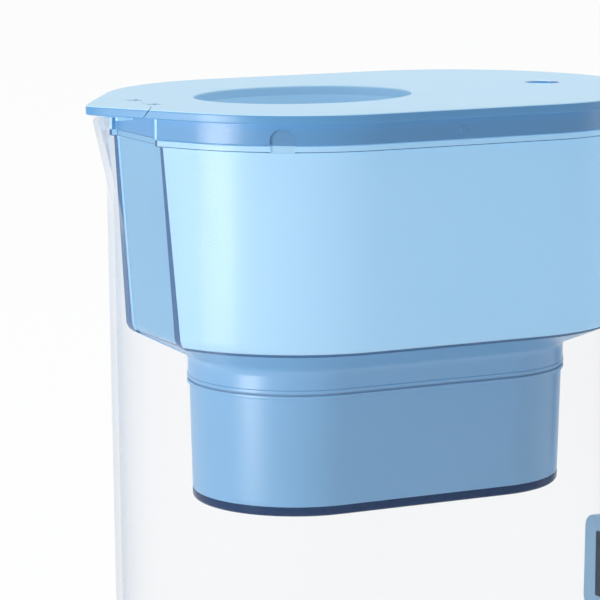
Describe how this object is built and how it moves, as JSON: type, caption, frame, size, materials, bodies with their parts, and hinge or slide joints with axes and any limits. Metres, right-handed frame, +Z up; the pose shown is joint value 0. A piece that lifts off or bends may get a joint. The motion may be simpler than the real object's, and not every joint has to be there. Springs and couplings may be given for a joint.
{
  "type": "water filter pitcher with flip lid",
  "caption": "Clear oval pitcher with a pointed beak, a lift-out hopper and filter cartridge, and a pale lid with a hinged pour flap and a hinged fill flap.",
  "frame": {"origin": "on the table, under the middle of the jug's oval plan, at the centre of the jug's flat underside", "axes": "+Z up, -X towards the spout, +X towards the handle, Y across; the part mirrors about Y = 0"},
  "size_m": [0.2621, 0.14, 0.2621],
  "materials": {
    "clear_plastic": "clear, glossy",
    "pale_blue_plastic": "satin",
    "soft_grip": "matte",
    "hopper_plastic": "translucent, glossy",
    "housing_plastic": "satin",
    "seal_rubber": "matte",
    "navy_plastic": "satin",
    "white_plastic": "satin",
    "carbon": "granular",
    "screen_mesh": "woven",
    "lid_plastic": "satin",
    "frame_plastic": "satin",
    "pin_steel": "turned",
    "bezel_metal": "polished",
    "button_blue": "glossy",
    "board_green": "solder resist"
  },
  "bodies": {
    "jug": {"jug": "clear_plastic", "handle": "pale_blue_plastic", "handle_grip": "soft_grip"},
    "hopper": {"hopper": "hopper_plastic", "filter_housing": "housing_plastic", "housing_seal": "seal_rubber", "housing_base": "navy_plastic"},
    "cartridge": {"cartridge_shell": "white_plastic", "cartridge_cap": "white_plastic", "cartridge_gasket": "seal_rubber", "filter_media": "carbon", "cartridge_screen": "screen_mesh"},
    "lid": {"lid_cover": "lid_plastic", "lid_frame": "frame_plastic", "fill_well": "frame_plastic", "fill_pin": "pin_steel", "spout_pin": "pin_steel", "indicator_bezel": "bezel_metal", "indicator_case": "white_plastic", "indicator_board": "board_green", "indicator_cell": "pin_steel"},
    "fill_flap": {"fill_flap": "pale_blue_plastic"},
    "spout_flap": {"spout_flap": "lid_plastic"},
    "button": {"indicator_button": "button_blue"}
  },
  "joints": [
    {"name": "hopper_lift", "type": "slide", "parent": "jug", "child": "hopper", "axis": [0, 0, 1], "range_m": [0, 0.14]},
    {"name": "lid_lift", "type": "slide", "parent": "hopper", "child": "lid", "axis": [0, 0, 1], "range_m": [0, 0.08]},
    {"name": "cartridge_lift", "type": "slide", "parent": "hopper", "child": "cartridge", "axis": [0, 0, 1], "range_m": [0, 0.02]},
    {"name": "spout_flap_hinge", "type": "hinge", "parent": "lid", "child": "spout_flap", "pos_m": [-0.09285, 0, 0.2598], "axis": [0, 1, 0], "range_deg": [0, 60]},
    {"name": "fill_flap_hinge", "type": "hinge", "parent": "lid", "child": "fill_flap", "pos_m": [0.01515, 0, 0.2504], "axis": [0, -1, 0], "range_deg": [0, 42], "stiffness_Nm_per_rad": 0.005, "springref_deg": -80.21},
    {"name": "button_press", "type": "slide", "parent": "lid", "child": "button", "axis": [0, 0, -1], "range_m": [0, 0.0008], "stiffness_N_per_m": 300, "springref_m": -0.0006}
  ]
}
